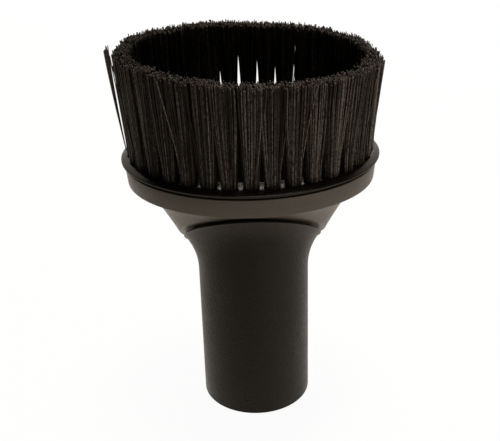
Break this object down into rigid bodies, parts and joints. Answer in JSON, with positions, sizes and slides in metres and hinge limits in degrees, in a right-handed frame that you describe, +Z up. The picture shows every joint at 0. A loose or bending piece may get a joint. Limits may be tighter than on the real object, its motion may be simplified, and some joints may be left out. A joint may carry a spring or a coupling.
{
  "type": "vacuum dusting brush",
  "caption": "Oval dusting brush on a straight tube socket, with a slanted swivel under a funnel-shaped head and a ring of bristle tufts.",
  "frame": {"origin": "centre of the tube's open end, on the surface the brush stands on", "axes": "+Z up the tube to the bristles, +X along the oval's long axis; the slanted swivel is high at -Y and low at +Y"},
  "size_m": [0.082, 0.069, 0.1241],
  "materials": {
    "shell_plastic": "fine matt grain",
    "ring_plastic": "satin",
    "bristle": "satin filaments"
  },
  "bodies": {
    "connector": {"connector_neck": "shell_plastic"},
    "head": {"head_shell": "shell_plastic", "bristle_ring": "ring_plastic", "tuft_01": "bristle", "tuft_02": "bristle", "tuft_03": "bristle", "tuft_04": "bristle", "tuft_05": "bristle", "tuft_06": "bristle", "tuft_07": "bristle", "tuft_08": "bristle", "tuft_09": "bristle", "tuft_10": "bristle", "tuft_11": "bristle", "tuft_12": "bristle", "tuft_13": "bristle", "tuft_14": "bristle", "tuft_15": "bristle", "tuft_16": "bristle", "tuft_17": "bristle", "tuft_18": "bristle", "tuft_19": "bristle", "tuft_20": "bristle", "tuft_21": "bristle", "tuft_22": "bristle", "tuft_23": "bristle", "tuft_24": "bristle", "tuft_25": "bristle", "tuft_26": "bristle", "tuft_27": "bristle", "tuft_28": "bristle", "tuft_29": "bristle", "tuft_30": "bristle", "tuft_31": "bristle", "tuft_32": "bristle", "tuft_33": "bristle", "tuft_34": "bristle"}
  },
  "joints": [
    {"name": "head_swivel", "type": "hinge", "parent": "connector", "child": "head", "pos_m": [0, -0.003, 0.0621], "axis": [0, 0.599, 0.8007], "continuous": true}
  ]
}
